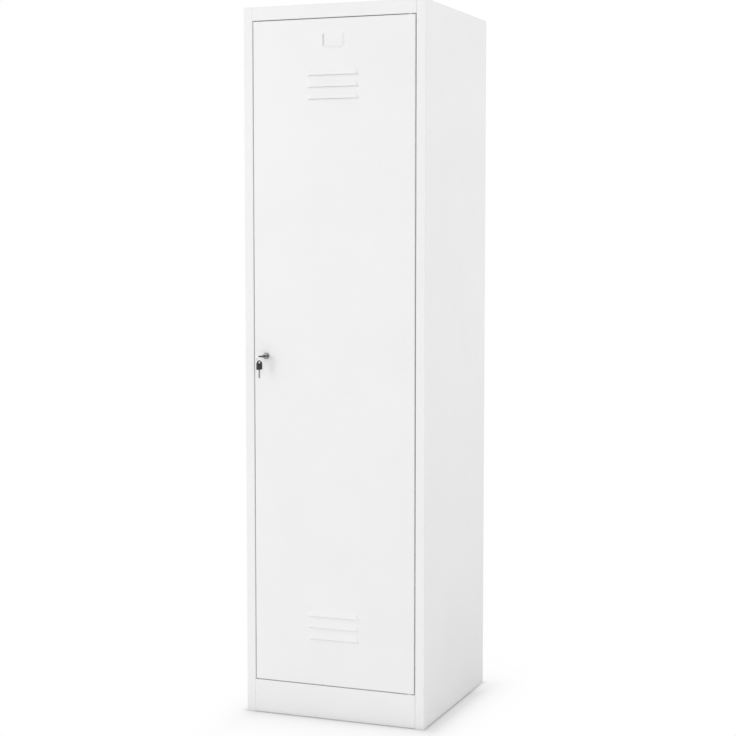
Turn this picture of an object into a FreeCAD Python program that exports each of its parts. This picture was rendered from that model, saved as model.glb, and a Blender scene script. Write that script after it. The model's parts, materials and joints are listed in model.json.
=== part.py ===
import FreeCAD, Part
import math
import os

# A tall single-door broom cupboard of folded, white-coated sheet steel, with a cam lock and its keys.
# Millimetres. +Z is up and the front faces -Y. The origin is on the floor, under the centre of the
# whole object's footprint, keys in front and screw heads behind included.

# Carcass
height = 1850.0
width = 500.0
depth = 500.0
sheet = 0.8
bend = 1.2
relief = 4.0
stile_width = 25.0
jamb_depth = 20.0
stop_width = 12.0
jamb_lip = 10.0
back_flange = 18.0
foot_flange = 22.0
rail_height = 35.0
rail_lip = 10.0
cover_flange = 22.0
plinth_height = 87.0
plinth_lip = 14.0
plinth_foot = 18.0
floor_flange = 30.0

# Shelf and hook rail
shelf_height = 1500.0
shelf_flange = 22.0
shelf_hem = 9.0
shelf_setback = 25.0
shelf_clearance = 0.5
runner_leg = 18.0
runner_margin = 18.0
hook_rail_height = 1420.0
hook_rail_length = 400.0
hook_rail_face = 34.0
hook_rail_flange = 10.0
hook_rail_depth = 8.0
hook_count = 4
hook_spacing = 105.0
hook_plate_width = 15.0
hook_plate_height = 30.0
hook_plate_thickness = 2.5
hook_bar = 6.0
hook_reach = 34.0
hook_turn = 10.0
hook_tip = 13.0
hook_knob = 8.5
hook_screw_spread = 18.0

# Door
gap_lock = 2.2
gap_hinge = 2.8
gap_top = 2.0
gap_bottom = 2.2
door_thickness = 18.0
door_lip = 14.0
stiffener_inset = 97.0
stiffener_crown = 36.0
stiffener_flange = 12.0
louvre_count = 3
louvre_width = 144.0
louvre_crest = 120.0
louvre_height = 17.5
louvre_rise = 3.2
louvre_cant = 5.5
louvre_round = 2.5
louvre_pitch = 30.0
louvre_top_drop = 142.0
louvre_bottom_lift = 122.0
card_width = 54.0
card_height = 36.0
card_foot_width = 50.0
card_centre_drop = 54.0
card_tab_depth = 5.0
card_tab_rise = 2.2
card_tab_taper = 5.0
card_tab_round = 6.0
buffer_diameter = 9.0
buffer_clearance = 0.2
buffer_heights = [300.0, 1060.0, 1600.0]

# Pivot hinge
pivot_inset = 14.0
pivot_setback = 8.0
pin_diameter = 5.0
pin_head_diameter = 8.0
pin_head_height = 1.5
pin_engagement = 9.0
pivot_plate_length = 34.0
pivot_plate_width = 13.0
pivot_plate_thickness = 2.5
bush_diameter = 8.0
bush_flange_diameter = 11.0
bush_flange = 1.2
bush_length = 10.0
washer_diameter = 11.0
running_fit = 0.05
end_float = 0.2

# Cam lock
lock_inset = 33.0
lock_height = 950.0
bezel_diameter = 16.8
bezel_height = 5.0
bezel_round = 1.6
barrel_diameter = 14.0
barrel_flats = 12.0
barrel_fit = 0.1
nut_across = 19.0
nut_height = 4.0
plug_diameter = 9.6
plug_collar_diameter = 11.8
plug_collar_height = 1.6
plug_recess = 0.3
stub_square = 6.5
cam_thickness = 2.0
cam_length = 36.0
cam_hub_radius = 9.0
cam_tip_radius = 6.0
cam_clearance = 0.7
cam_screw_diameter = 4.0
cam_screw_head = 10.0
cam_screw_head_height = 2.8
cam_screw_length = 9.0

# Keys and ring
blade_width = 5.0
blade_thickness = 1.6
blade_length = 22.0
blade_tang = 9.0
blade_exposed = 6.0
keyway_fit = 0.2
bitting_count = 4
bitting_pitch = 3.4
bitting_depth = 1.1
groove_width = 1.2
groove_depth = 0.45
head_width = 20.0
head_length = 24.5
head_thickness = 3.4
head_tip_thickness = 2.2
head_round = 0.8
head_corner = 2.5
head_panel_depth = 0.35
head_panel_margin = 3.2
eye_width = 6.6
eye_height = 5.4
eye_drop = 5.4
ring_diameter = 17.0
ring_wire = 1.4
ring_clearance = 0.15
spare_yaw = 70.0

# Fasteners and wall fixing
screw_diameter = 4.0
screw_length = 8.0
screw_head_diameter = 8.0
screw_head_height = 2.4
screw_fit = 0.1
screw_rows = 5
screw_end_margin = 60.0
cross_screw_spread = 240.0
hook_screw_diameter = 3.5
hook_screw_length = 6.0
hook_screw_head_diameter = 6.5
hook_screw_head_height = 2.0
lug_margin = 6.0
plinth_screw_margin = 26.0
wall_hole_diameter = 7.0
wall_hole_spacing = 300.0
wall_hole_drop = 120.0

# Places worked out from the sizes above
key_reach = bezel_height + blade_exposed + head_length
spare_turn = math.radians(spare_yaw)
spare_half = (head_width * math.sin(spare_turn) + head_thickness * math.cos(spare_turn)) / 2
front_reach = max(key_reach, key_reach - eye_drop + spare_half)
front = (front_reach - depth - screw_head_height) / 2
back = front + depth
half_width = width / 2
inner_half = half_width - sheet
opening_half = half_width - stile_width
opening_top = height - rail_height
rebate = front + jamb_depth
back_face = back - 2 * sheet
outer_bend = bend + sheet
shelf_front = rebate + shelf_setback
hook_face = back_face - hook_rail_depth - sheet
door_left = gap_lock - opening_half
door_right = opening_half - gap_hinge
door_bottom = plinth_height + gap_bottom
door_top = opening_top - gap_top
door_back = front + door_thickness
skin_back = front + sheet
pivot_x = door_right - pivot_inset
pivot_y = front + pivot_setback
lock_x = door_left + lock_inset
cam_front = rebate + sheet + cam_clearance
cam_back = cam_front + cam_thickness
barrel_end = cam_front - end_float
plug_face = front - bezel_height + plug_recess
eye_y = front - key_reach + eye_drop
web_half = (math.sqrt((head_width / 2) ** 2 - (head_width / 2 - eye_drop) ** 2) - eye_width / 2) / 2
web_x = lock_x - eye_width / 2 - web_half
ring_radius = ring_diameter / 2
wire_radius = ring_wire / 2
ring_z = lock_height - (ring_radius - wire_radius - web_half - ring_clearance)
ring_foot_z = ring_z - ring_radius
lug_y = (skin_back + rebate) / 2
plinth_screw_heights = [plinth_screw_margin, plinth_height - plinth_screw_margin]
rail_screw_height = (opening_top + height) / 2
row_step = (height - 2 * screw_end_margin) / (screw_rows - 1)
row_heights = [screw_end_margin + row_step * row for row in range(screw_rows)]
flange_screw_x = half_width - back_flange / 2
cover_screw_height = height - cover_flange / 2
floor_screw_height = plinth_height - floor_flange / 2
hook_places = [hook_spacing * (i - (hook_count - 1) / 2) for i in range(hook_count)]


def vec(x, y, z=0.0):
    return FreeCAD.Vector(x, y, z)


X_AXIS = vec(1, 0, 0)
Y_AXIS = vec(0, 1, 0)
Z_AXIS = vec(0, 0, 1)
ORIGIN = vec(0, 0, 0)


def block(x0, x1, y0, y1, z0, z1):
    return Part.makeBox(x1 - x0, y1 - y0, z1 - z0, vec(x0, y0, z0))


def rod(diameter, length, start, axis):
    return Part.makeCylinder(diameter / 2, length, start, axis)


def joined(pieces):
    return pieces[0].fuse(pieces[1:]).removeSplitter()


def rounded_chain(corners, radii, place):
    """Edges along an open line of 2-D corners, each inner corner turned as an arc of its radius."""
    edges = []
    start = corners[0]
    for i in range(1, len(corners) - 1):
        before = (corners[i] - corners[i - 1]).normalize()
        after = (corners[i + 1] - corners[i]).normalize()
        half_turn = before.getAngle(after) / 2
        enter = corners[i] - before * (radii[i] * math.tan(half_turn))
        leave = corners[i] + after * (radii[i] * math.tan(half_turn))
        middle = corners[i] + (after - before).normalize() * (radii[i] * (1 / math.cos(half_turn) - 1))
        edges.append(Part.LineSegment(place(start), place(enter)).toShape())
        edges.append(Part.Arc(place(enter), place(middle), place(leave)).toShape())
        start = leave
    edges.append(Part.LineSegment(place(start), place(corners[-1])).toShape())
    return edges


def folded(corners, place, sweep):
    """Bent sheet: the outer line's corners, with the metal on the right of the way along it."""
    line = [vec(a, b) for a, b in corners]
    ways = [(line[i + 1] - line[i]).normalize() for i in range(len(line) - 1)]
    sides = [vec(way.y, -way.x) for way in ways]
    offset = [line[0] + sides[0] * sheet]
    line_radii = [0.0]
    offset_radii = [0.0]
    for i in range(1, len(line) - 1):
        offset.append(line[i] + (sides[i - 1] + sides[i]) * sheet)
        turns_left = ways[i - 1].cross(ways[i]).z > 0
        line_radii.append(bend if turns_left else outer_bend)
        offset_radii.append(outer_bend if turns_left else bend)
    offset.append(line[-1] + sides[-1] * sheet)
    near = rounded_chain(line, line_radii, place)
    far = rounded_chain(offset, offset_radii, place)
    ends = [
        Part.LineSegment(place(line[0]), place(offset[0])).toShape(),
        Part.LineSegment(place(line[-1]), place(offset[-1])).toShape(),
    ]
    outline = Part.Wire(Part.__sortEdges__(near + far + ends))
    return Part.Face(outline).extrude(sweep)


def folded_upright(corners, z0, z1):
    return folded(corners, lambda p: vec(p.x, p.y, z0), vec(0, 0, z1 - z0))


def folded_across(corners, x0, x1):
    return folded(corners, lambda p: vec(x0, p.x, p.y), vec(x1 - x0, 0, 0))


def folded_deep(corners, y0, y1):
    return folded(corners, lambda p: vec(p.x, y0, p.y), vec(0, y1 - y0, 0))


def mirrored(shape):
    return shape.mirror(ORIGIN, X_AXIS)


def screw(seat, into, diameter, length, head_diameter, head_height):
    """Pan-head screw: seat is under the head, into points along the shank."""
    head = rod(head_diameter, head_height, seat, into * -1)
    crown = [edge for edge in head.Edges if abs((edge.CenterOfMass - seat).dot(into) + head_height) < 1e-6]
    head = head.makeFillet(head_height * 0.6, crown)
    shank = rod(diameter, length, seat, into)
    tip = [edge for edge in shank.Edges if abs((edge.CenterOfMass - seat).dot(into) - length) < 1e-6]
    return joined([head, shank.makeChamfer(diameter / 5, tip)])


def case_screw(seat, into):
    return screw(seat, into, screw_diameter, screw_length, screw_head_diameter, screw_head_height)


def screw_hole(seat, into, diameter=screw_diameter):
    """Clearance for a screw, from in front of its seat to past its tip."""
    return rod(diameter + 2 * screw_fit, 2 * screw_length, seat - into * screw_length, into)


def back_screw_seats():
    """Through the side panels' rear flanges, then through the back into the cover and the floor."""
    seats = [vec(side * flange_screw_x, back, z) for side in (-1, 1) for z in row_heights]
    for z in (cover_screw_height, floor_screw_height):
        seats += [vec(side * cross_screw_spread / 2, back - sheet, z) for side in (-1, 1)]
    return seats


def lug_screw_seats(side, heights):
    return [vec(side * (opening_half - sheet), lug_y, z) for z in heights]


# Carcass


def side_panel(fold_end):
    """Left-hand wall with its stile, jamb, rear flange and foot; fold_end is where the jamb's fold stops."""
    panel = folded_upright(
        [
            (fold_end, rebate),
            (-opening_half, rebate),
            (-opening_half, front),
            (-half_width, front),
            (-half_width, back),
            (back_flange - half_width, back),
        ],
        0,
        height,
    )
    foot_start = rebate + relief
    foot_end = back - back_flange - relief
    panel = panel.cut(block(-half_width, -inner_half, foot_start, foot_end, 0, outer_bend))
    foot = folded_deep(
        [(foot_flange - half_width, 0), (-half_width, 0), (-half_width, outer_bend + relief)],
        foot_start,
        foot_end,
    )
    panel = joined([panel, foot])
    holes = [screw_hole(vec(-flange_screw_x, back, z), Y_AXIS * -1) for z in row_heights]
    lugs = lug_screw_seats(-1, plinth_screw_heights + [rail_screw_height])
    holes += [screw_hole(seat, X_AXIS * -1) for seat in lugs]
    return panel.cut(Part.Compound(holes))


def left_side_panel():
    panel = side_panel(stop_width - opening_half)
    # The stop is cut away beside the plinth and the top rail, which reach back to it.
    stop = (-opening_half - 2 * sheet, stop_width - opening_half, rebate - outer_bend, rebate + sheet)
    panel = panel.cut(block(*stop, 0, plinth_height))
    return panel.cut(block(*stop, opening_top, height))


def right_side_panel():
    return mirrored(side_panel(-opening_half - jamb_lip))


def back_panel():
    half = inner_half - bend
    panel = block(-half, half, back_face, back_face + sheet, 0, height)
    holes = [screw_hole(seat, Y_AXIS * -1) for seat in back_screw_seats()]
    for side in (-1, 1):
        place = vec(side * wall_hole_spacing / 2, back_face - sheet, height - wall_hole_drop)
        holes.append(rod(wall_hole_diameter, 3 * sheet, place, Y_AXIS))
    return panel.cut(Part.Compound(holes))


def end_lugs(z0, z1):
    """Small plates across both ends of a front rail, screwed to the jambs."""
    lug = block(opening_half - sheet, opening_half, front + sheet, rebate - sheet, z0, z1)
    return [lug, mirrored(lug)]


def lug_holes(heights):
    return [
        screw_hole(seat, X_AXIS * side)
        for side in (-1, 1)
        for seat in lug_screw_seats(side, heights)
    ]


def top_cover(left, right):
    """Top sheet with the front rail folded down from it, tucked between the side panels."""
    middle = folded_across(
        [
            (rebate, opening_top + rail_lip),
            (rebate, opening_top),
            (front, opening_top),
            (front, height),
            (back_face, height),
            (back_face, height - cover_flange),
        ],
        -opening_half,
        opening_half,
    )
    sides = folded_deep(
        [
            (-inner_half, height - cover_flange),
            (-inner_half, height),
            (inner_half, height),
            (inner_half, height - cover_flange),
        ],
        rebate + relief,
        back_face - relief,
    )
    wing = block(opening_half, inner_half, skin_back, rebate + relief, height - sheet, height)
    heel = block(opening_half, inner_half, back_face - relief, back_face, height - sheet, height)
    pieces = [middle, sides, wing, heel, mirrored(wing), mirrored(heel)]
    pieces += end_lugs(opening_top + lug_margin, height - lug_margin)
    cover = joined(pieces).cut(left).cut(right)
    holes = lug_holes([rail_screw_height])
    holes += [screw_hole(seat, Y_AXIS * -1) for seat in back_screw_seats()]
    holes.append(rod(pin_diameter + 2 * screw_fit, 2 * rail_lip, vec(pivot_x, pivot_y, door_top), Z_AXIS))
    return cover.cut(Part.Compound(holes))


def plinth():
    front_fold = folded_across(
        [
            (front + plinth_foot, 0),
            (front, 0),
            (front, plinth_height),
            (rebate, plinth_height),
            (rebate, plinth_height - plinth_lip),
        ],
        -opening_half,
        opening_half,
    )
    pieces = [front_fold] + end_lugs(lug_margin, plinth_height - lug_margin)
    holes = lug_holes(plinth_screw_heights)
    pin_start = vec(pivot_x, pivot_y, plinth_height - 2 * sheet)
    holes.append(rod(pin_diameter + 2 * screw_fit, 4 * sheet, pin_start, Z_AXIS))
    return joined(pieces).cut(Part.Compound(holes))


def floor_panel():
    drop = plinth_height - floor_flange
    lengthwise = folded_across(
        [(rebate, drop), (rebate, plinth_height), (back_face, plinth_height), (back_face, drop)],
        relief - inner_half,
        inner_half - relief,
    )
    crosswise = folded_deep(
        [(-inner_half, drop), (-inner_half, plinth_height), (inner_half, plinth_height), (inner_half, drop)],
        rebate + relief,
        back_face - relief,
    )
    holes = [screw_hole(seat, Y_AXIS * -1) for seat in back_screw_seats()]
    return joined([lengthwise, crosswise]).cut(Part.Compound(holes))


# Shelf and hooks


def hat_shelf():
    drop = shelf_height - shelf_flange
    fold_half = inner_half - runner_leg - shelf_clearance
    edge_half = inner_half - shelf_clearance
    fold = folded_across(
        [
            (shelf_front + shelf_hem, drop),
            (shelf_front, drop),
            (shelf_front, shelf_height),
            (back_face, shelf_height),
            (back_face, drop),
        ],
        -fold_half,
        fold_half,
    )
    ends = block(
        -edge_half,
        edge_half,
        shelf_front + outer_bend,
        back_face - outer_bend,
        shelf_height - sheet,
        shelf_height,
    )
    return joined([fold, ends])


def shelf_runner_left():
    top = shelf_height - sheet
    return folded_deep(
        [(-inner_half, top - runner_leg), (-inner_half, top), (runner_leg - inner_half, top)],
        shelf_front + runner_margin,
        back_face - runner_margin,
    )


def hook_rail():
    low = hook_rail_height - hook_rail_face / 2
    high = hook_rail_height + hook_rail_face / 2
    rail = folded_across(
        [
            (back_face, high + hook_rail_flange),
            (back_face, high),
            (back_face - hook_rail_depth, high),
            (back_face - hook_rail_depth, low),
            (back_face, low),
            (back_face, low - hook_rail_flange),
        ],
        -hook_rail_length / 2,
        hook_rail_length / 2,
    )
    holes = [
        screw_hole(seat, Y_AXIS, hook_screw_diameter)
        for x in hook_places
        for seat in hook_screw_seats(x)
    ]
    return rail.cut(Part.Compound(holes))


def hook_screw_seats(x):
    y = hook_face - hook_plate_thickness
    middle = hook_rail_height
    return [vec(x, y, middle + side * hook_screw_spread / 2) for side in (-1, 1)]


def broom_hook(x):
    """Oval plate with a bent bar that ends in a knob."""
    half_run = (hook_plate_height - hook_plate_width) / 2
    plate_start = vec(x, hook_face - hook_plate_thickness, hook_rail_height)
    ends = [
        rod(hook_plate_width, hook_plate_thickness, plate_start + Z_AXIS * (side * half_run), Y_AXIS)
        for side in (-1, 1)
    ]
    middle = block(
        x - hook_plate_width / 2,
        x + hook_plate_width / 2,
        hook_face - hook_plate_thickness,
        hook_face,
        hook_rail_height - half_run,
        hook_rail_height + half_run,
    )
    tip_y = hook_face - hook_reach
    low = vec(x, hook_face - hook_plate_thickness / 2, hook_rail_height)
    bend_start = vec(x, tip_y + hook_turn, hook_rail_height)
    turn_mid = vec(
        x,
        tip_y + hook_turn * (1 - math.sin(math.pi / 4)),
        hook_rail_height + hook_turn * (1 - math.cos(math.pi / 4)),
    )
    bend_end = vec(x, tip_y, hook_rail_height + hook_turn)
    tip = bend_end + Z_AXIS * hook_tip
    route = Part.Wire(
        [
            Part.LineSegment(low, bend_start).toShape(),
            Part.Arc(bend_start, turn_mid, bend_end).toShape(),
            Part.LineSegment(bend_end, tip).toShape(),
        ]
    )
    ring = Part.Wire(Part.makeCircle(hook_bar / 2, low, Y_AXIS * -1))
    bar = route.makePipeShell([ring], True, True)
    knob = Part.makeSphere(hook_knob / 2, tip)
    holes = [screw_hole(seat, Y_AXIS, hook_screw_diameter) for seat in hook_screw_seats(x)]
    return joined(ends + [middle, bar, knob]).cut(Part.Compound(holes))


def hook_screws():
    return Part.Compound(
        [
            screw(
                seat,
                Y_AXIS,
                hook_screw_diameter,
                hook_screw_length,
                hook_screw_head_diameter,
                hook_screw_head_height,
            )
            for x in hook_places
            for seat in hook_screw_seats(x)
        ]
    )


# Door


def pressed_hood(foot, crest, run, rise, cant, rounding):
    """Outer and inner form of a louvre: mouth down on z = 0, sheet on y = 0, standing out along -Y."""
    corners = {}
    for side in (-1, 1):
        corners[side] = (
            vec(side * foot / 2, 0, 0),
            vec(side * crest / 2, 0, run),
            vec(side * (foot / 2 - cant), -rise, 0),
        )
    a0, b0, c0 = corners[-1]
    a1, b1, c1 = corners[1]
    loops = [(a0, a1, c1, c0), (a0, b0, b1, a1), (c0, c1, b1, b0), (a0, c0, b0), (a1, b1, c1)]
    faces = [Part.Face(Part.makePolygon(list(loop) + [loop[0]])) for loop in loops]
    hood = Part.Solid(Part.Shell(faces))
    ridges = [
        edge
        for edge in hood.Edges
        for low, high in ((c0, b0), (c1, b1))
        if (edge.CenterOfMass - (low + high) * 0.5).Length < 1e-6
    ]
    outer = hood.makeFillet(rounding, ridges)
    return outer, outer.translated(vec(0, sheet * math.hypot(1, rise / run), 0))


def louvre_places():
    top = [door_top - louvre_top_drop - louvre_pitch * i for i in range(louvre_count)]
    bottom = [door_bottom + louvre_bottom_lift + louvre_pitch * i for i in range(louvre_count)]
    return top + bottom


def door_presswork():
    """Outer and inner forms of the louvres and card-holder tabs, placed on the skin."""
    louvre = pressed_hood(louvre_width, louvre_crest, louvre_height, louvre_rise, louvre_cant, louvre_round)
    placed = [[form.translated(vec(0, front, z)) for form in louvre] for z in louvre_places()]
    card_z = door_top - card_centre_drop
    tabs = [
        (card_height, -90, vec(-card_width / 2, front, card_z)),
        (card_height, 90, vec(card_width / 2, front, card_z)),
        (card_foot_width, 180, vec(0, front, card_z - card_height / 2)),
    ]
    for length, angle, place in tabs:
        crest = length - 2 * card_tab_taper
        tab = pressed_hood(length, crest, card_tab_depth, card_tab_rise, card_tab_taper, card_tab_round)
        placed.append([form.rotated(ORIGIN, Y_AXIS, angle).translated(place) for form in tab])
    outers = [outer for outer, inner in placed]
    inners = [inner for outer, inner in placed]
    return outers, inners


def lock_barrel(fit):
    """Barrel with two flats, along +Y from the bezel's front."""
    start = vec(lock_x, front - bezel_height, lock_height)
    barrel = rod(barrel_diameter + 2 * fit, barrel_end - start.y, start, Y_AXIS)
    half_flat = barrel_flats / 2 + fit
    reach = barrel_diameter
    flats = block(
        lock_x - half_flat,
        lock_x + half_flat,
        start.y,
        barrel_end,
        lock_height - reach,
        lock_height + reach,
    )
    return barrel.common(flats)


def front_edges(shape, y):
    return [
        edge
        for edge in shape.Edges
        if all(abs(vertex.Point.y - y) < 1e-6 for vertex in edge.Vertexes)
    ]


def door_skin():
    """Folded pan with a lip round its back, louvres, card tabs, lock hole and bush holes."""
    outer = block(door_left, door_right, front, door_back, door_bottom, door_top)
    outer = outer.makeFillet(outer_bend, front_edges(outer, front))
    hollow = block(
        door_left + sheet,
        door_right - sheet,
        skin_back,
        door_back - sheet,
        door_bottom + sheet,
        door_top - sheet,
    )
    hollow = hollow.makeFillet(bend, front_edges(hollow, skin_back))
    mouth = block(
        door_left + door_lip,
        door_right - door_lip,
        door_back - 2 * sheet,
        door_back,
        door_bottom + door_lip,
        door_top - door_lip,
    )
    skin = outer.cut(hollow).cut(mouth)
    outers, inners = door_presswork()
    skin = skin.fuse(outers).cut(Part.Compound(inners))
    holes = [lock_barrel(barrel_fit)]
    for z in (door_bottom, door_top):
        start = vec(pivot_x, pivot_y, z - 2 * sheet)
        holes.append(rod(bush_diameter + 2 * running_fit, 4 * sheet, start, Z_AXIS))
    return skin.cut(Part.Compound(holes)).removeSplitter()


def door_stiffener():
    """Hat channel inside the pan, its flanges on the back of the skin."""
    middle = door_left + stiffener_inset
    crown = stiffener_crown / 2
    deep = door_back - 2 * sheet
    return folded_upright(
        [
            (middle + crown + stiffener_flange, skin_back),
            (middle + crown, skin_back),
            (middle + crown, deep),
            (middle - crown, deep),
            (middle - crown, skin_back),
            (middle - crown - stiffener_flange, skin_back),
        ],
        door_bottom + sheet + bend,
        door_top - sheet - bend,
    )


def door_buffers():
    thickness = rebate - door_back - buffer_clearance
    x = stop_width / 2 - opening_half + sheet
    pads = []
    for z in buffer_heights:
        pad = rod(buffer_diameter, thickness, vec(x, rebate, z), Y_AXIS * -1)
        pads.append(pad.makeFillet(thickness / 3, front_edges(pad, rebate - thickness)))
    return Part.Compound(pads)


# Pivot hinge


def pivot_plate(z, towards_door):
    """Thick plate on the hidden face of a rail's ledge; z is that face."""
    low = z if towards_door < 0 else z - pivot_plate_thickness
    plate_end = opening_half - sheet - end_float
    plate = block(
        plate_end - pivot_plate_length,
        plate_end,
        pivot_y - pivot_plate_width / 2 + bend,
        pivot_y + pivot_plate_width / 2 + bend,
        low,
        low + pivot_plate_thickness,
    )
    hole = rod(pin_diameter + 2 * screw_fit, 3 * pivot_plate_thickness, vec(pivot_x, pivot_y, z), Z_AXIS)
    hole.translate(vec(0, 0, -1.5 * pivot_plate_thickness))
    return plate.cut(hole)


def pivot_pin(ledge, towards_door, gap):
    """Riveted pin: its head lies behind the plate and its shank crosses the gap into the door."""
    way = Z_AXIS * towards_door
    seat = vec(pivot_x, pivot_y, ledge) - way * (sheet + pivot_plate_thickness)
    head = rod(pin_head_diameter, pin_head_height, seat, way * -1)
    shank = rod(pin_diameter, sheet + pivot_plate_thickness + gap + pin_engagement, seat, way)
    end = seat + way * (sheet + pivot_plate_thickness + gap + pin_engagement)
    tip = [edge for edge in shank.Edges if (edge.CenterOfMass - end).Length < 1e-6]
    return joined([head, shank.makeChamfer(pin_diameter / 6, tip)])


def pivot_bush(door_edge, towards_door):
    """Flanged nylon bush in the door's folded edge, its flange in the gap."""
    way = Z_AXIS * towards_door
    start = vec(pivot_x, pivot_y, door_edge) - way * bush_flange
    flange = rod(bush_flange_diameter, bush_flange, start, way)
    body = rod(bush_diameter, bush_flange + bush_length, start, way)
    bore = rod(pin_diameter + 2 * running_fit, bush_flange + bush_length, start, way)
    return joined([flange, body]).cut(bore)


def pivot_washer():
    """Thrust washer that carries the door on the lower ledge."""
    start = vec(pivot_x, pivot_y, plinth_height)
    thickness = gap_bottom - bush_flange - end_float
    hole = rod(pin_diameter + 2 * running_fit, thickness, start, Z_AXIS)
    return rod(washer_diameter, thickness, start, Z_AXIS).cut(hole)


# Cam lock


def lock_body():
    start = vec(lock_x, front - bezel_height, lock_height)
    bezel = rod(bezel_diameter, bezel_height, start, Y_AXIS)
    bezel = bezel.makeFillet(bezel_round, front_edges(bezel, start.y))
    collar = rod(plug_collar_diameter + 4 * running_fit, plug_recess + plug_collar_height, start, Y_AXIS)
    bore = rod(plug_diameter + 2 * running_fit, barrel_end - start.y, start, Y_AXIS)
    return joined([bezel, lock_barrel(0)]).cut(collar).cut(bore)


def lock_nut():
    radius = nut_across / math.sqrt(3)
    corners = [
        vec(
            lock_x + radius * math.cos(math.radians(60 * i)),
            skin_back,
            lock_height + radius * math.sin(math.radians(60 * i)),
        )
        for i in range(7)
    ]
    nut = Part.Face(Part.makePolygon(corners)).extrude(Y_AXIS * nut_height)
    start = vec(lock_x, skin_back, lock_height)
    return nut.cut(rod(barrel_diameter + 2 * running_fit, nut_height, start, Y_AXIS))


def cam_screw_hole():
    start = vec(lock_x, cam_back - cam_screw_length, lock_height)
    return rod(cam_screw_diameter + 2 * running_fit, 2 * cam_screw_length, start, Y_AXIS)


def lock_stub(fit, y0, y1):
    half = stub_square / 2 + fit
    return block(lock_x - half, lock_x + half, y0, y1, lock_height - half, lock_height + half)


def lock_plug():
    """Turning cylinder: collar in the bezel, keyway for a level blade, square stub for the cam."""
    start = vec(lock_x, plug_face, lock_height)
    collar = rod(plug_collar_diameter, plug_collar_height, start, Y_AXIS)
    core = rod(plug_diameter, cam_front - plug_face, start, Y_AXIS)
    stub = lock_stub(0, cam_front, cam_back - end_float)
    half_way = blade_width / 2 + keyway_fit
    half_slot = blade_thickness / 2 + keyway_fit
    keyway = block(
        lock_x - half_way,
        lock_x + half_way,
        plug_face,
        front - bezel_height + blade_length - blade_exposed + end_float,
        lock_height - half_slot,
        lock_height + half_slot,
    )
    return joined([collar, core, stub]).cut(keyway).cut(cam_screw_hole())


def lock_cam():
    """Tapered tongue pointing up in the unlocked rest position."""
    reach = cam_length - cam_tip_radius
    lean = math.asin((cam_hub_radius - cam_tip_radius) / reach)
    hub = vec(lock_x, cam_front, lock_height)
    tip = hub + Z_AXIS * reach

    def on(centre, radius, angle):
        return centre + X_AXIS * (radius * math.cos(angle)) + Z_AXIS * (radius * math.sin(angle))

    hub_right = on(hub, cam_hub_radius, lean)
    hub_left = on(hub, cam_hub_radius, math.pi - lean)
    tip_right = on(tip, cam_tip_radius, lean)
    tip_left = on(tip, cam_tip_radius, math.pi - lean)
    outline = Part.Wire(
        [
            Part.Arc(hub_left, on(hub, cam_hub_radius, -math.pi / 2), hub_right).toShape(),
            Part.LineSegment(hub_right, tip_right).toShape(),
            Part.Arc(tip_right, on(tip, cam_tip_radius, math.pi / 2), tip_left).toShape(),
            Part.LineSegment(tip_left, hub_left).toShape(),
        ]
    )
    cam = Part.Face(outline).extrude(Y_AXIS * cam_thickness)
    return cam.cut(lock_stub(running_fit, cam_front, cam_back))


def cam_screw():
    seat = vec(lock_x, cam_back, lock_height)
    return screw(
        seat,
        Y_AXIS * -1,
        cam_screw_diameter,
        cam_screw_length,
        cam_screw_head,
        cam_screw_head_height,
    )


# Keys: drawn hanging, with the eye's centre at the origin, the blade down -Z and the flat facing -Y


def hanging_blade():
    """Flat blade, point down: bitting on one edge and a milled groove along both faces."""
    top = eye_drop - head_length
    low = top - blade_length
    half = blade_width / 2
    outline = [
        vec(-half, -blade_thickness / 2, top + blade_tang),
        vec(-half, -blade_thickness / 2, low + half),
        vec(-half / 2, -blade_thickness / 2, low),
        vec(half / 2, -blade_thickness / 2, low),
        vec(half, -blade_thickness / 2, low + half),
        vec(half, -blade_thickness / 2, top + blade_tang),
    ]
    blade = Part.Face(Part.makePolygon(outline + outline[:1])).extrude(Y_AXIS * blade_thickness)
    notches = []
    for i in range(bitting_count):
        z = low + half + bitting_pitch * (i + 0.5)
        notch = [
            vec(half - bitting_depth, -blade_thickness, z),
            vec(half + bitting_depth, -blade_thickness, z + 2 * bitting_depth),
            vec(half + bitting_depth, -blade_thickness, z - 2 * bitting_depth),
        ]
        notches.append(Part.Face(Part.makePolygon(notch + notch[:1])).extrude(Y_AXIS * (2 * blade_thickness)))
    grooves = []
    for side in (-1, 1):
        floor = blade_thickness / 2 - groove_depth
        ends = sorted((side * floor, side * blade_thickness))
        grooves.append(block(-groove_width, 0, *ends, low - half, top))
    return blade.cut(Part.Compound(notches)).cut(Part.Compound(grooves))


def head_wedge(inset):
    """Block that thins from the shoulder to the round end; inset is taken off each grip face."""
    shoulder = head_thickness / 2 - inset
    tip = head_tip_thickness / 2 - inset
    low = eye_drop - head_length
    corners = [
        vec(-head_width / 2, -shoulder, low),
        vec(-head_width / 2, shoulder, low),
        vec(-head_width / 2, tip, eye_drop),
        vec(-head_width / 2, -tip, eye_drop),
    ]
    return Part.Face(Part.makePolygon(corners + corners[:1])).extrude(X_AXIS * head_width)


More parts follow.
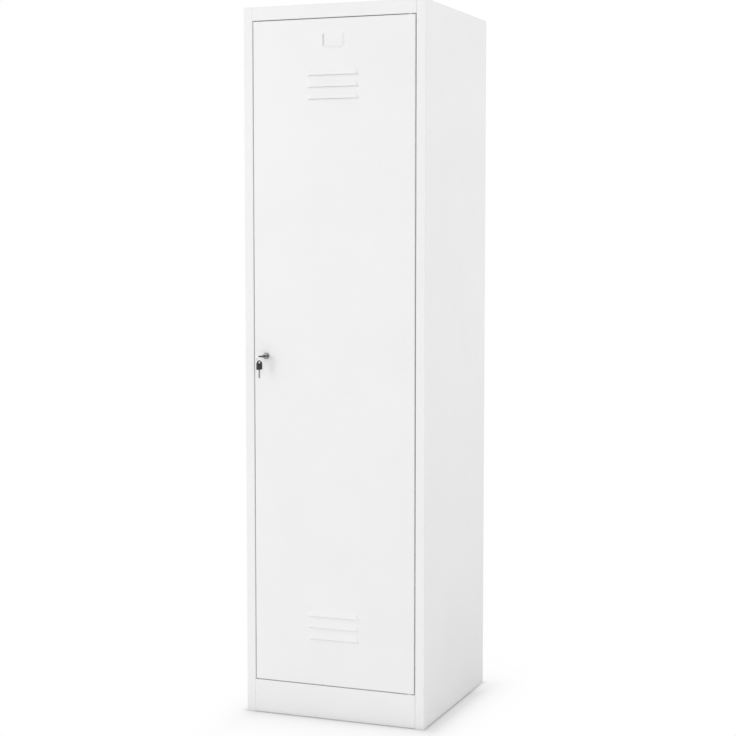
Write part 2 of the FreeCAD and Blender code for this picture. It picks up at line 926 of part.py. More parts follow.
def hanging_head():
    """Moulded wedge: half-round end, straight sides, eye for the ring and a sunk grip panel each side."""
    half = head_width / 2
    round_z = eye_drop - half
    low = eye_drop - head_length
    y = -head_thickness / 2
    outline = Part.Wire(
        [
            Part.Arc(vec(half, y, round_z), vec(0, y, eye_drop), vec(-half, y, round_z)).toShape(),
            Part.LineSegment(vec(-half, y, round_z), vec(-half, y, low)).toShape(),
            Part.LineSegment(vec(-half, y, low), vec(half, y, low)).toShape(),
            Part.LineSegment(vec(half, y, low), vec(half, y, round_z)).toShape(),
        ]
    )
    head = Part.Face(outline).extrude(Y_AXIS * head_thickness)
    corners = [
        edge
        for edge in head.Edges
        if abs(edge.CenterOfMass.y) < 1e-6 and abs(edge.CenterOfMass.z - low) < 1e-6
    ]
    head = head.makeFillet(head_corner, corners)
    eye_flat = (eye_width - eye_height) / 2
    eye = [rod(eye_height, head_thickness, vec(side * eye_flat, y, 0), Y_AXIS) for side in (-1, 1)]
    eye.append(block(-eye_flat, eye_flat, y, -y, -eye_height / 2, eye_height / 2))
    head = head.cut(joined(eye)).common(head_wedge(0))
    grips = sorted(head.Faces, key=lambda face: face.Area)[-2:]
    head = head.makeFillet(head_round, [edge for grip in grips for edge in grip.Edges])
    panel = block(
        head_panel_margin - half,
        half - head_panel_margin,
        y,
        -y,
        low + head_panel_margin,
        -eye_height / 2 - head_panel_margin,
    )
    return head.cut(panel.cut(head_wedge(head_panel_depth))).cut(hanging_blade())


def in_the_lock(shape):
    """Head level and end-on to the viewer, blade along +Y into the keyway."""
    placed = shape.copy()
    placed.rotate(ORIGIN, X_AXIS, 90)
    placed.translate(vec(lock_x, eye_y, lock_height))
    return placed


def on_the_ring(shape):
    """Hanging from the foot of the ring, its flat turned from the front towards the right."""
    placed = shape.copy()
    placed.rotate(ORIGIN, Z_AXIS, spare_yaw)
    placed.translate(vec(web_x, eye_y, ring_foot_z + wire_radius + ring_clearance - eye_height / 2))
    return placed


def key_ring():
    return Part.makeTorus(ring_radius, wire_radius, vec(web_x, eye_y, ring_z), Y_AXIS)


def build():
    left = left_side_panel()
    right = right_side_panel()
    lug_heights = plinth_screw_heights + [rail_screw_height]
    frame_screws = [
        case_screw(seat, X_AXIS * side)
        for side in (-1, 1)
        for seat in lug_screw_seats(side, lug_heights)
    ]
    runner = shelf_runner_left()
    nodes = {
        "left_side_panel": left,
        "right_side_panel": right,
        "back_panel": back_panel(),
        "top_cover": top_cover(left, right),
        "plinth": plinth(),
        "floor_panel": floor_panel(),
        "hat_shelf": hat_shelf(),
        "shelf_runner_left": runner,
        "shelf_runner_right": mirrored(runner),
        "hook_rail": hook_rail(),
        "hook_screws": hook_screws(),
        "back_screws": Part.Compound([case_screw(seat, Y_AXIS * -1) for seat in back_screw_seats()]),
        "frame_screws": Part.Compound(frame_screws),
        "upper_pivot_plate": pivot_plate(opening_top + sheet, -1),
        "upper_pivot_pin": pivot_pin(opening_top, -1, gap_top),
        "lower_pivot_plate": pivot_plate(plinth_height - sheet, 1),
        "lower_pivot_pin": pivot_pin(plinth_height, 1, gap_bottom),
        "pivot_washer": pivot_washer(),
        "door_buffers": door_buffers(),
        "door_skin": door_skin(),
        "door_stiffener": door_stiffener(),
        "upper_pivot_bush": pivot_bush(door_top, -1),
        "lower_pivot_bush": pivot_bush(door_bottom, 1),
        "lock_body": lock_body(),
        "lock_nut": lock_nut(),
        "lock_plug": lock_plug(),
        "lock_cam": lock_cam(),
        "cam_screw": cam_screw(),
        "key_blade": in_the_lock(hanging_blade()),
        "key_head": in_the_lock(hanging_head()),
        "key_ring": key_ring(),
        "spare_key_blade": on_the_ring(hanging_blade()),
        "spare_key_head": on_the_ring(hanging_head()),
    }
    for i, x in enumerate(hook_places):
        nodes["broom_hook_%d" % (i + 1)] = broom_hook(x)
    return nodes


def write(nodes):
    os.makedirs("parts", exist_ok=True)
    for name, shape in nodes.items():
        if not shape.isValid():
            print("not valid:", name)
        shape.exportStep("parts/%s.step" % name)


write(build())
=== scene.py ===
import json
import math

import bmesh
import bpy
from mathutils import Matrix, Vector


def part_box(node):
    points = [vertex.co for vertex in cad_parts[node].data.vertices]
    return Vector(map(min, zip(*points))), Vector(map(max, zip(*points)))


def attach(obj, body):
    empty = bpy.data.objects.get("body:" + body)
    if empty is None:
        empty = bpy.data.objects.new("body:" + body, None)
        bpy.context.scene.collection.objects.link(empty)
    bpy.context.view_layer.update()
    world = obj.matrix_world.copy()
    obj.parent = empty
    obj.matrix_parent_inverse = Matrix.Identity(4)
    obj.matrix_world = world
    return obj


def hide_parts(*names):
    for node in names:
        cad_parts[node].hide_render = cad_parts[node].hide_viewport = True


# A tall broom cupboard of white-coated sheet steel, dressed on its CAD frame. Metres.

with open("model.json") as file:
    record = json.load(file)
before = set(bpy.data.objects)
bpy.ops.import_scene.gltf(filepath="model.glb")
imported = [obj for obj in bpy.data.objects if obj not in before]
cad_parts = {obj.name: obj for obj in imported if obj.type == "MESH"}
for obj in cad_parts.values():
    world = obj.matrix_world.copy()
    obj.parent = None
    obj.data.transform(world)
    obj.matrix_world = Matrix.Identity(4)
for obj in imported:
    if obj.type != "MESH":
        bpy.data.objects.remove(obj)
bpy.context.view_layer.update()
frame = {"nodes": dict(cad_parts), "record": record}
nodes = frame["nodes"]

MM = 0.001
FULL_TURN = 2 * math.pi

# Camera at the photograph's point of view, from the floor below the middle of the front
CAMERA_PLACE = (1.666, -4.012, 1.274)
CAMERA_YAW = math.radians(21.375)
CAMERA_DIP = math.radians(4.611)
CAMERA_LENS = 82.82
SENSOR_WIDTH = 36.0

# Studio: the floor, the even light from all round, and two soft lamps with their places, widths and watts
FLOOR_HALF = 30.0
FLOOR_DROP = 0.2 * MM
FLOOR_PAINT = "EAEAEA"
WORLD_LIGHT = 0.793
KEY_LIGHT_PLACE = (-4.7, -6.5, 2.3)
KEY_LIGHT_SIZE = 3.5
KEY_LIGHT_POWER = 171.0
FILL_LIGHT_PLACE = (4.2, 0.4, 2.3)
FILL_LIGHT_SIZE = 1.6
FILL_LIGHT_POWER = 30.5
AIM = (0.0, 0.0, 0.95)

# How much of the floor's paint, and so of the shadow on it, shows through its white near the foot,
# and how far out that fades: close by on all sides, and softly in front;
# the soft shade leans to the right and stops short of the back
CONTACT_SHADE = 0.4
CONTACT_FADE = 5 * MM
CONTACT_STRETCH = (1.0, 1.0, 1.0)
SOFT_SHADE = 0.45
SOFT_FADE = 110 * MM
SOFT_STRETCH = (3.5, 1.0, 1.0)
SOFT_LEAN = 25 * MM
SOFT_SHORT = 120 * MM

# Painted shade in the floor's own paint: how much darker the paint itself is, and how far out that fades:
# close to the foot, and wide at the sides; it dims the light the floor throws back on the cupboard's foot
# and sides
FOOT_PAINTED_SHADE = 0.2
FOOT_FADE = 14 * MM
WIDE_PAINTED_SHADE = 0.34
WIDE_FADE = 450 * MM
WIDE_STRETCH = (1.0, 12.0, 1.0)

# Screws: the body that each kind rides on, the way it points, its head's height,
# its shank's radius and its thread's pitch
SCREWS = {
    "back_screws": ("cabinet", (0, -1, 0), 2.4 * MM, 2.0 * MM, 1.4 * MM),
    "hook_screws": ("cabinet", (0, 1, 0), 2.0 * MM, 1.75 * MM, 1.3 * MM),
    "frame_screws": ("cabinet", (1, 0, 0), 2.4 * MM, 2.0 * MM, 1.4 * MM),
    "cam_screw": ("lock_cylinder", (0, -1, 0), 2.8 * MM, 2.0 * MM, 0.7 * MM),
}
SCREW_SIDES = 32

# How far each screw's cross is turned on from that of the screw before it
SCREW_TURN = math.radians(137.5)

# Thread: its rows in one pitch, its depth on a screw as a share of the shank's radius, and the screw's
# point, with its blunt tip as a share of that radius too
THREAD_ROWS = 8
THREAD_DEPTH = 0.28
POINT_LENGTH = 2.5 * MM
POINT_BLUNTNESS = 0.2

# Pan head: its underside as a share of its radius, its rim as a share of its height
HEAD_UNDERSIDE = 0.94
HEAD_RIM = 0.3
CROWN_STEPS = 8
CROWN_LEAN = math.radians(75)

# Cross in the head: its reach as a share of the head's radius, its slot of the reach, its depth and the
# punch's top of the head's height, and its foot of its mouth
CROSS_REACH = 0.56
CROSS_SLOT = 0.22
CROSS_DEPTH = 0.75
CROSS_TOP = 1.2
CROSS_TAPER = 0.5

# Lock body: threaded barrel with two flats, and a bezel with a collar sunk in its face
BARREL_RADIUS = 7.0 * MM
BARREL_FLAT = 6.0 * MM
BARREL_PITCH = 1.0 * MM
BARREL_THREAD = 0.45 * MM
BEZEL_HEIGHT = 5.0 * MM
BEZEL_ROUND = 1.6 * MM
BEZEL_STEPS = 8
COLLAR_RADIUS = 6.0 * MM
COLLAR_DEPTH = 1.95 * MM
BORE_RADIUS = 4.85 * MM
LOCK_SIDES = 96

# Keeps the formula of the barrel's flats finite where it runs along them
LEAST_COSINE = 0.1

# Lock nut: the bevelled face as a share of the half width across its flats
NUT_HOLE = 7.05 * MM
NUT_BEVEL = 0.5 * MM
NUT_FACE = 0.97
NUT_SLOPE = math.radians(30)
NUT_SIDES = 72
HEXAGON_SIDE = math.radians(60)

# Split ring: the angles of its step and of its opening, and its wire
RING_STEP = math.radians(14)
RING_OPENING = math.radians(205)
RING_POINTS = 160
WIRE_POINTS = 16
WIRE_SQUARENESS = 0.5
WIRE_WIDTH = 0.8 * MM

# Faces that meet at a wider angle keep a sharp edge, and points closer than this are one point
SHARP_EDGE = math.radians(32)
SAME_POINT = 0.001 * MM

# Sockets of a colour mix, which share their names with others: share, two colours, and the mixed colour
SHARE = 0
FIRST = 6
SECOND = 7
MIXED = 2


# Small tools


def linear(hex_colour):
    """An sRGB hex colour, such as F1F1EF, as the linear colour that a shader takes."""
    parts = [int(hex_colour[i : i + 2], 16) / 255 for i in (0, 2, 4)]
    return [p / 12.92 if p <= 0.04045 else ((p + 0.055) / 1.055) ** 2.4 for p in parts] + [1.0]


def add(tree, kind, inputs=None, **settings):
    """Adds one shader node: settings are its properties, inputs its sockets' values or links."""
    made = tree.nodes.new("ShaderNode" + kind)
    for name, value in settings.items():
        setattr(made, name, value)
    for socket, value in (inputs or {}).items():
        if isinstance(value, bpy.types.NodeSocket):
            tree.links.new(value, made.inputs[socket])
        else:
            made.inputs[socket].default_value = value
    return made


def finish_of(name, inputs):
    """A material with one Principled shader: the material, its tree, the shader, and each point's place."""
    made = bpy.data.materials.new(name)
    made.use_nodes = True
    tree = made.node_tree
    tree.nodes.clear()
    shader = add(tree, "BsdfPrincipled", inputs)
    add(tree, "OutputMaterial", {"Surface": shader.outputs["BSDF"]})
    place = add(tree, "TexCoord").outputs["Object"]
    return made, tree, shader, place


def vary(tree, shader, tint, gloss):
    """Moves a shader's colour and its roughness between two values: each is (pattern, low, high)."""
    pattern, dark, pale = tint
    ends = {SHARE: pattern, FIRST: linear(dark), SECOND: linear(pale)}
    shade = add(tree, "Mix", ends, data_type="RGBA")
    tree.links.new(shade.outputs[MIXED], shader.inputs["Base Color"])
    pattern, smooth, rough = gloss
    sheen = add(tree, "MapRange", {"Value": pattern, "To Min": smooth, "To Max": rough})
    tree.links.new(sheen.outputs["Result"], shader.inputs["Roughness"])


def at(size, angle):
    """A size that may change round an axis: a number, or a formula of the angle."""
    return size(angle) if callable(size) else size


def skin(solid, rings):
    """Faces between each ring of points and the next."""
    for low, high in zip(rings, rings[1:]):
        for side in range(len(low)):
            after = (side + 1) % len(low)
            solid.faces.new((low[side], low[after], high[after], high[side]))


def turned(profile, sides, hollow=False):
    """A solid of rings round Z, each (radius, height); a hollow one comes back to its first ring."""
    solid = bmesh.new()
    rings = []
    for radius, height in profile:
        angles = [FULL_TURN * side / sides for side in range(sides)]
        points = [(at(radius, a) * math.cos(a), at(radius, a) * math.sin(a), at(height, a)) for a in angles]
        rings.append([solid.verts.new(point) for point in points])
    if hollow:
        rings.append(rings[0])
    else:
        solid.faces.new(rings[0])
        solid.faces.new(rings[-1])
    skin(solid, rings)
    bmesh.ops.recalc_face_normals(solid, faces=solid.faces)
    return solid


def mesh_of(name, solid):
    """The mesh of a solid, which is used up."""
    mesh = bpy.data.meshes.new(name)
    solid.to_mesh(mesh)
    solid.free()
    return mesh


def shown(name, data):
    """An object in the scene that holds a mesh, a lamp or a camera."""
    made = bpy.data.objects.new(name, data)
    bpy.context.scene.collection.objects.link(made)
    return made


def piece(name, solid, finishes, slot, body, node):
    """A finished piece that rides on a body and stands for a plain node."""
    mesh = mesh_of(name, solid)
    mesh.shade_smooth()
    mesh.set_sharp_from_angle(angle=SHARP_EDGE)
    mesh.materials.append(finishes[slot])
    made = shown(name, mesh)
    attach(made, body)
    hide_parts(node)


# Materials


def powder_coat_on_sheet_steel():
    """Polyester powder, sprayed and baked on folded sheet: matt white, with orange peel in its sheen."""
    made, tree, shader, place = finish_of("powder_coat_on_sheet_steel", {"IOR": 1.5})
    # The film is a little thicker here and there, which shifts its white by a shade over a hand's breadth.
    film = add(tree, "TexNoise", {"Vector": place, "Scale": 1 / (160 * MM), "Detail": 2.0}).outputs["Fac"]
    # Orange peel is about 2 mm across; it is drawn at 6 mm so that it shows at this distance.
    peel = add(tree, "TexNoise", {"Vector": place, "Scale": 1 / (6 * MM), "Detail": 1.0}).outputs["Fac"]
    vary(tree, shader, (film, "EEEEEE", "F3F3F3"), (peel, 0.62, 0.72))
    # Thin sheet is never dead flat: it bows by tenths of a millimetre over a quarter of a metre.
    bow = add(tree, "TexNoise", {"Vector": place, "Scale": 1 / (250 * MM), "Detail": 0.0}).outputs["Fac"]
    bowed = add(tree, "Bump", {"Height": bow, "Strength": 1.0, "Distance": 0.35 * MM}).outputs["Normal"]
    dimples = {"Height": peel, "Strength": 0.5, "Distance": 0.06 * MM, "Normal": bowed}
    dimpled = add(tree, "Bump", dimples).outputs["Normal"]
    tree.links.new(dimpled, shader.inputs["Normal"])
    return made


def zinc_plated_steel(name, dark, pale, smooth, rough):
    """Barrel-plated zinc on steel: bluish bright, clouded in patches of a few millimetres."""
    made, tree, shader, place = finish_of(name, {"Metallic": 1.0})
    cloud = add(tree, "TexNoise", {"Vector": place, "Scale": 1 / (5 * MM), "Detail": 3.0}).outputs["Fac"]
    vary(tree, shader, (cloud, dark, pale), (cloud, smooth, rough))
    # Dents from tumbling in the plating barrel are about half a millimetre wide.
    dents = add(tree, "TexNoise", {"Vector": place, "Scale": 1 / (0.6 * MM), "Detail": 1.0}).outputs["Fac"]
    dented = add(tree, "Bump", {"Height": dents, "Strength": 0.4, "Distance": 0.01 * MM}).outputs["Normal"]
    tree.links.new(dented, shader.inputs["Normal"])
    return made


def nickel_plated_die_casting(axis_point):
    """Zinc casting, turned, polished and nickel plated: warm grey with faint rings round its axis."""
    made, tree, shader, place = finish_of("nickel_plated_die_casting", {"Metallic": 1.0})
    centred = add(tree, "VectorMath", {0: place, 1: axis_point}, operation="SUBTRACT").outputs["Vector"]
    # Turning marks are 0.1 mm apart; they are drawn at 0.5 mm so that they show.
    # The rings of a wave at scale 1 are a tenth of pi apart.
    marks = {"Vector": centred, "Scale": math.pi / (10 * 0.5 * MM), "Distortion": 0.4, "Detail": 1.0}
    rings = add(tree, "TexWave", marks, wave_type="RINGS", rings_direction="Y").outputs["Fac"]
    vary(tree, shader, (rings, "7C7B79", "908F8D"), (rings, 0.26, 0.36))
    ringed = add(tree, "Bump", {"Height": rings, "Strength": 0.3, "Distance": 0.01 * MM}).outputs["Normal"]
    tree.links.new(ringed, shader.inputs["Normal"])
    return made


def nickel_plated_milled_brass():
    """Key blanks cut from rolled strip: grey nickel over a fine, uneven grain."""
    made, tree, shader, place = finish_of("nickel_plated_milled_brass", {"Metallic": 1.0})
    # The strip's grain is finer than a tenth of a millimetre; it is drawn at 0.4 mm so that it shows.
    grain = add(tree, "TexNoise", {"Vector": place, "Scale": 1 / (0.4 * MM), "Detail": 2.0}).outputs["Fac"]
    vary(tree, shader, (grain, "969592", "B0AFAB"), (grain, 0.25, 0.4))
    grained = add(tree, "Bump", {"Height": grain, "Strength": 0.3, "Distance": 0.01 * MM}).outputs["Normal"]
    tree.links.new(grained, shader.inputs["Normal"])
    return made


def bright_spring_wire():
    """Drawn and flattened steel wire, nickel plated: smooth and bright, duller where keys rub it."""
    made, tree, shader, place = finish_of("bright_spring_wire", {"Metallic": 1.0})
    # Rubbed patches are about 1.5 mm long.
    wear = add(tree, "TexNoise", {"Vector": place, "Scale": 1 / (1.5 * MM), "Detail": 2.0}).outputs["Fac"]
    vary(tree, shader, (wear, "C6C6C5", "DCDCDB"), (wear, 0.16, 0.28))
    return made


def moulded_plastic(name, dark, pale, grit, smooth, rough):
    """Injection-moulded plastic from a spark-eroded mould: even colour under a fine matt grit."""
    made, tree, shader, place = finish_of(name, {"IOR": 1.53})
    # The grit is under a tenth of a millimetre; it is drawn coarser, at the size given, so that it shows.
    grain = add(tree, "TexNoise", {"Vector": place, "Scale": 1 / grit, "Detail": 2.0}).outputs["Fac"]
    vary(tree, shader, (grain, dark, pale), (grain, smooth, rough))
    grained = add(tree, "Bump", {"Height": grain, "Strength": 0.5, "Distance": 0.03 * MM}).outputs["Normal"]
    tree.links.new(grained, shader.inputs["Normal"])
    return made


def all_finishes():
    """One finish for each of the record's material slots."""
    lock_low, lock_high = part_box("lock_body")
    return {
        "coated_steel": powder_coat_on_sheet_steel(),
        "zinc_screw": zinc_plated_steel("zinc_plated_screw_steel", "A9AEB3", "CDD1D4", 0.22, 0.36),
        "pivot_steel": zinc_plated_steel("zinc_plated_pressed_steel", "9EA2A5", "C2C5C7", 0.3, 0.45),
        "nickel_lock": nickel_plated_die_casting((lock_low + lock_high) / 2),
        "key_steel": nickel_plated_milled_brass(),
        "ring_steel": bright_spring_wire(),
        "head_plastic": moulded_plastic("moulded_black_abs", "1A1A1B", "262628", 0.6 * MM, 0.4, 0.55),
        "nylon": moulded_plastic("moulded_natural_nylon", "E4E0D6", "EFECE4", 1.5 * MM, 0.35, 0.5),
        "rubber": moulded_plastic("moulded_black_rubber", "1B1B1B", "262626", 0.8 * MM, 0.7, 0.85),
    }


def dress_nodes(finishes):
    """Gives each plain node the finish of its slot."""
    for row in frame["record"]["subparts"]:
        mesh = nodes[row["node"]].data
        mesh.materials.clear()
        mesh.materials.append(finishes[row["material_slot"]])


# Screws


def separate_boxes(node):
    """The lowest and highest corner of each loose solid in a node, in a fixed order."""
    solid = bmesh.new()
    solid.from_mesh(nodes[node].data)
    bmesh.ops.remove_doubles(solid, verts=solid.verts, dist=SAME_POINT)
    left = set(solid.verts)
    boxes = []
    while left:
        reached = [left.pop()]
        for point in reached:
            near = {edge.other_vert(point) for edge in point.link_edges} & left
            left -= near
            reached.extend(near)
        low = Vector([min(point.co[axis] for point in reached) for axis in range(3)])
        high = Vector([max(point.co[axis] for point in reached) for axis in range(3)])
        boxes.append((low, high))
    solid.free()
    return sorted(boxes, key=lambda box: tuple(box[0]))


def thread(core, depth, pitch, height):
    """Radius round a shank at one height: a sharp ridge that climbs by the pitch in each turn."""

    def radius(angle):
        turn = height / pitch - angle / FULL_TURN
        ridge = abs(2 * (turn % 1.0) - 1)
        return core + depth * ridge**2

    return radius


def plain_screw(head, head_height, shank, length, pitch):
    """Pan head and pointed, threaded shank along Z, seated at zero; head and shank are radii."""
    rows = round(THREAD_ROWS * length / pitch)
    depth = THREAD_DEPTH * shank
    profile = []
    for row in range(rows + 1):
        up = length * row / rows
        point = min(1.0, up / POINT_LENGTH + POINT_BLUNTNESS)
        profile.append((thread(point * (shank - depth), point * depth, pitch, up), up - length))
    profile.append((HEAD_UNDERSIDE * head, 0.0))
    rim = HEAD_RIM * head_height
    for step in range(CROWN_STEPS):
        lean = CROWN_LEAN * step / (CROWN_STEPS - 1)
        profile.append((head * math.cos(lean), rim + (head_height - rim) * math.sin(lean)))
    return turned(profile, SCREW_SIDES)


def cross_punch(reach, top, depth):
    """The tapered plus shape that is pressed into a screw's head."""
    solid = bmesh.new()
    loops = []
    for share, height in ((CROSS_TAPER, top - depth), (1.0, top)):
        arm = reach * share
        half = reach * CROSS_SLOT * (1 + share) / 2
        corners = []
        for quarter in range(4):
            turn = Matrix.Rotation(quarter * FULL_TURN / 4, 3, "Z")
            for x, y in ((arm, -half), (arm, half), (half, half)):
                corners.append(turn @ Vector((x, y, height)))
        loops.append([solid.verts.new(corner) for corner in corners])
    solid.faces.new(loops[0])
    solid.faces.new(loops[1])
    skin(solid, loops)
    bmesh.ops.recalc_face_normals(solid, faces=solid.faces)
    return solid


def cut_away(body, punch):
    """The mesh of one solid with another taken out of it."""
    kept = shown("kept", mesh_of("kept", body))
    taken = shown("taken", mesh_of("taken", punch))
    cut = kept.modifiers.new("cut", "BOOLEAN")
    cut.operation = "DIFFERENCE"
    cut.solver = "EXACT"
    cut.object = taken
    view = bpy.context.evaluated_depsgraph_get()
    mesh = bpy.data.meshes.new_from_object(kept.evaluated_get(view))
    for used in (kept, taken):
        bpy.data.objects.remove(used)
    return mesh


def cross_recessed_screws(node, finishes):
    """Screws with a driven cross and a cut thread, each where the node has a plain one."""
    body, into, head_height, shank, pitch = SCREWS[node]
    boxes = separate_boxes(node)
    low, high = boxes[0]
    size = high - low
    along = max(range(3), key=lambda axis: abs(into[axis]))
    across = (along + 1) % 3
    head = size[across] / 2
    length = size[along] - head_height
    recess = cross_punch(CROSS_REACH * head, CROSS_TOP * head_height, CROSS_DEPTH * head_height)
    master = cut_away(plain_screw(head, head_height, shank, length, pitch), recess)
    solid = bmesh.new()
    for count, (low, high) in enumerate(boxes):
        centre = (low + high) / 2
        way = Vector(into)
        # The frame screws on the left point the other way.
        if node == "frame_screws" and centre.x < 0:
            way = -way
        seat = centre + way * (head_height - length) / 2
        placed = Matrix.Translation(seat) @ (-way).to_track_quat("Z", "Y").to_matrix().to_4x4()
        before = len(solid.verts)
        solid.from_mesh(master)
        solid.verts.ensure_lookup_table()
        spun = placed @ Matrix.Rotation(count * SCREW_TURN, 4, "Z")
        bmesh.ops.transform(solid, matrix=spun, verts=solid.verts[before:])
    piece("cross_recessed_" + node, solid, finishes, "zinc_screw", body, node)


# Lock


def along_lock(y):
    """Turns a piece made round Z to lie along the lock's axis, with its foot at y."""
    low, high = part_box("lock_body")
    foot = Vector(((low.x + high.x) / 2, y, (low.z + high.z) / 2))
    return Matrix.Translation(foot) @ Matrix.Rotation(-FULL_TURN / 4, 4, "X")


def threaded_lock_body(finishes):
    """Bezel with a rounded rim, and a threaded barrel with two flats and a bore for the plug."""
    low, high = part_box("lock_body")
    bezel = (high.x - low.x) / 2
    length = high.y - low.y
    barrel_length = length - BEZEL_HEIGHT
    rows = round(THREAD_ROWS * barrel_length / BARREL_PITCH)

    def barrel(height):
        ridge = thread(BARREL_RADIUS - BARREL_THREAD, BARREL_THREAD, BARREL_PITCH, height)
        return lambda angle: min(ridge(angle), BARREL_FLAT / max(abs(math.cos(angle)), LEAST_COSINE))

    profile = [(BORE_RADIUS, COLLAR_DEPTH), (COLLAR_RADIUS, COLLAR_DEPTH), (COLLAR_RADIUS, 0.0)]
    for step in range(BEZEL_STEPS + 1):
        lean = FULL_TURN / 4 * step / BEZEL_STEPS
        profile.append((bezel - BEZEL_ROUND * (1 - math.sin(lean)), BEZEL_ROUND * (1 - math.cos(lean))))
    profile.append((bezel, BEZEL_HEIGHT))
    for row in range(rows + 1):
        height = BEZEL_HEIGHT + barrel_length * row / rows
        profile.append((barrel(height), height))
    profile.append((BORE_RADIUS, length))
    solid = turned(profile, LOCK_SIDES, hollow=True)
    bmesh.ops.transform(solid, matrix=along_lock(low.y), verts=solid.verts)
    piece("threaded_lock_body", solid, finishes, "nickel_lock", "door", "lock_body")


def bevelled_lock_nut(finishes):
    """Hexagon nut with its corners bevelled to a circle on both faces and a bevelled hole."""
    low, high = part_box("lock_nut")
    height = high.y - low.y
    flat = (high.z - low.z) / 2
    face = NUT_FACE * flat

    def hexagon(angle):
        return flat / math.cos(angle % HEXAGON_SIDE - HEXAGON_SIDE / 2)

    def bevel(angle):
        return (hexagon(angle) - face) * math.tan(NUT_SLOPE)

    profile = [
        (NUT_HOLE, NUT_BEVEL),
        (NUT_HOLE + NUT_BEVEL, 0.0),
        (face, 0.0),
        (hexagon, bevel),
        (hexagon, lambda angle: height - bevel(angle)),
        (face, height),
        (NUT_HOLE + NUT_BEVEL, height),
        (NUT_HOLE, height - NUT_BEVEL),
    ]
    solid = turned(profile, NUT_SIDES, hollow=True)
    bmesh.ops.transform(solid, matrix=along_lock(low.y), verts=solid.verts)
    piece("bevelled_lock_nut", solid, finishes, "zinc_screw", "door", "lock_nut")


# Split ring


def rounded_square(angle):
    """A point on the outline of flattened wire, which reaches 1 on either side."""
    wide, thick = math.cos(angle), math.sin(angle)
    return [math.copysign(abs(part) ** WIRE_SQUARENESS, part) for part in (wide, thick)]


def split_ring(finishes):
    """Two turns of flattened wire, side by side, with the step where one passes into the other."""
    low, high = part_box("key_ring")
    centre = (low + high) / 2
    half_thick = (high.y - low.y) / 4
    half_wide = WIRE_WIDTH / 2
    radius = (high.x - low.x) / 2 - 2 * half_thick
    solid = bmesh.new()
    rings = []
    for count in range(RING_POINTS + 1):
        turn = RING_STEP + (2 * FULL_TURN - 2 * RING_STEP) * count / RING_POINTS
        angle = RING_OPENING + turn
        out = Vector((math.cos(angle), 0.0, math.sin(angle)))
        # The step from one side to the other is a smooth S.
        step = min(1.0, max(0.0, (turn - FULL_TURN + RING_STEP) / (2 * RING_STEP)))
        side = half_thick * (2 * step * step * (3 - 2 * step) - 1)
        ring = []
        for corner in range(WIRE_POINTS):
            wide, thick = rounded_square(FULL_TURN * corner / WIRE_POINTS)
            across = Vector((0.0, side + half_thick * thick, 0.0))
            ring.append(solid.verts.new(centre + out * (radius + half_wide * wide) + across))
        rings.append(ring)
    skin(solid, rings)
    solid.faces.new(rings[0])
    solid.faces.new(rings[-1])
    bmesh.ops.recalc_face_normals(solid, faces=solid.faces)
    piece("split_ring", solid, finishes, "ring_steel", "ring", "key_ring")


# Studio


def from_base(tree, place, stretch, lean=0.0, short=0.0):
    """How far floor points are from the cupboard's base, which may lean right and stop short of the back.

    The way along each axis is stretched, so that what fades with it stays closer there.
    """
    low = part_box("left_side_panel")[0] + Vector((lean, 0.0, 0.0))
    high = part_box("right_side_panel")[1] + Vector((lean, -short, 0.0))
    centre = (low + high) / 2
    half = (high - low) / 2
    none = (0.0, 0.0, 0.0)
    steps = (
        ("SUBTRACT", (centre.x, centre.y, -FLOOR_DROP)),
        ("ABSOLUTE", none),
        ("SUBTRACT", (half.x, half.y, 0.0)),
        ("MAXIMUM", none),
        ("MULTIPLY", stretch),
    )
    reach = place
    for operation, by in steps:
        reach = add(tree, "VectorMath", {0: reach, 1: by}, operation=operation).outputs["Vector"]
    return add(tree, "VectorMath", {0: reach}, operation="LENGTH").outputs["Value"]


def faded(tree, shades):
    """1 less the sum of some shades, each (distance, depth, fade), that die away with the distance."""
    share = 1.0
    for away, depth, fade in shades:
        scaled = add(tree, "Math", {0: away, 1: -1 / fade}, operation="MULTIPLY").outputs[0]
        left = add(tree, "Math", {0: scaled}, operation="EXPONENT").outputs[0]
        share = add(tree, "Math", {0: left, 1: -depth, 2: share}, operation="MULTIPLY_ADD").outputs[0]
    return share


def seen_directly(tree):
    """1 for what the camera sees, also mirrored or through glass; 0 for the light that falls on things."""
    path = add(tree, "LightPath")
    seen = path.outputs["Is Camera Ray"]
    for way in ("Is Glossy Ray", "Is Transmission Ray"):
        seen = add(tree, "Math", {0: seen, 1: path.outputs[way]}, operation="MAXIMUM").outputs[0]
    return seen


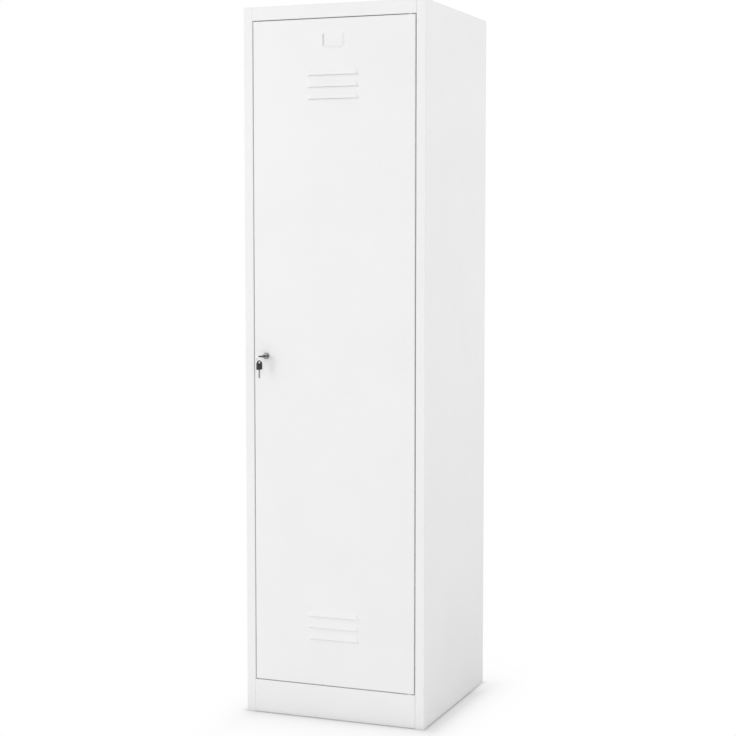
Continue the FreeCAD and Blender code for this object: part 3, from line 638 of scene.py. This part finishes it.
def pale_floor():
    """Matt pale floor: pure white where it is seen far off, with the shadow kept close to the cupboard, and
    painted shade in its paint round the foot and at the sides.
    """
    mesh = bpy.data.meshes.new("floor")
    corners = [(-1, -1), (1, -1), (1, 1), (-1, 1)]
    points = [(x * FLOOR_HALF, y * FLOOR_HALF, -FLOOR_DROP) for x, y in corners]
    mesh.from_pydata(points, [], [(0, 1, 2, 3)])
    floor = shown("floor", mesh)
    made = bpy.data.materials.new("matt_white_floor")
    made.use_nodes = True
    tree = made.node_tree
    tree.nodes.clear()
    place = add(tree, "TexCoord").outputs["Object"]
    away = from_base(tree, place, CONTACT_STRETCH)
    ahead = from_base(tree, place, SOFT_STRETCH, SOFT_LEAN, SOFT_SHORT)
    beside = from_base(tree, place, WIDE_STRETCH)
    # Painted shade: the floor's paint is darker close to the foot and beside the cupboard, so it throws
    # back less light there and looks darker near the foot
    painted_shade_factor = faded(tree, ((away, FOOT_PAINTED_SHADE, FOOT_FADE), (beside, WIDE_PAINTED_SHADE, WIDE_FADE)))
    tones = {SHARE: painted_shade_factor, FIRST: linear("000000"), SECOND: linear(FLOOR_PAINT)}
    tone = add(tree, "Mix", tones, data_type="RGBA").outputs[MIXED]
    paint = add(tree, "BsdfDiffuse", {"Color": tone}).outputs["BSDF"]
    white = add(tree, "Emission", {"Strength": 1.0}).outputs["Emission"]
    kept = faded(tree, ((away, CONTACT_SHADE, CONTACT_FADE), (ahead, SOFT_SHADE, SOFT_FADE)))
    share = add(tree, "Math", {0: kept, 1: seen_directly(tree)}, operation="MULTIPLY").outputs[0]
    mixed = add(tree, "MixShader", {0: share, 1: paint, 2: white}).outputs["Shader"]
    add(tree, "OutputMaterial", {"Surface": mixed})
    mesh.materials.append(made)


def white_surround():
    """Even light from all round, which looks pure white itself."""
    world = bpy.data.worlds.new("white_surround")
    world.use_nodes = True
    tree = world.node_tree
    tree.nodes.clear()
    strength = add(tree, "MapRange", {"Value": seen_directly(tree), "To Min": WORLD_LIGHT, "To Max": 1.0})
    sky = add(tree, "Background", {"Color": linear("FFFFFF"), "Strength": strength.outputs["Result"]})
    add(tree, "OutputWorld", {"Surface": sky.outputs["Background"]})
    bpy.context.scene.world = world


def soft_box(name, place, size, power):
    """A square lamp that faces the middle of the cupboard."""
    lamp = bpy.data.lights.new(name, "AREA")
    lamp.size = size
    lamp.energy = power
    box = shown(name, lamp)
    box.location = place
    box.rotation_euler = (Vector(AIM) - Vector(place)).to_track_quat("-Z", "Y").to_euler()


def camera():
    """The photograph's point of view."""
    lens = bpy.data.cameras.new("camera")
    lens.lens = CAMERA_LENS
    lens.sensor_width = SENSOR_WIDTH
    made = shown("camera", lens)
    made.location = Vector(CAMERA_PLACE) + Vector((0.0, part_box("plinth")[0].y, 0.0))
    made.rotation_euler = (math.pi / 2 - CAMERA_DIP, 0, CAMERA_YAW)
    bpy.context.scene.camera = made


def studio():
    """Floor, surround, lamps and camera."""
    bpy.context.scene.view_settings.view_transform = "Standard"
    pale_floor()
    white_surround()
    soft_box("key_light", KEY_LIGHT_PLACE, KEY_LIGHT_SIZE, KEY_LIGHT_POWER)
    soft_box("fill_light", FILL_LIGHT_PLACE, FILL_LIGHT_SIZE, FILL_LIGHT_POWER)
    camera()


def dress_cupboard():
    """Finishes for all nodes, and finer pieces for the screws, the lock and the key ring."""
    finishes = all_finishes()
    dress_nodes(finishes)
    for node in SCREWS:
        cross_recessed_screws(node, finishes)
    threaded_lock_body(finishes)
    bevelled_lock_nut(finishes)
    split_ring(finishes)


dress_cupboard()
studio()
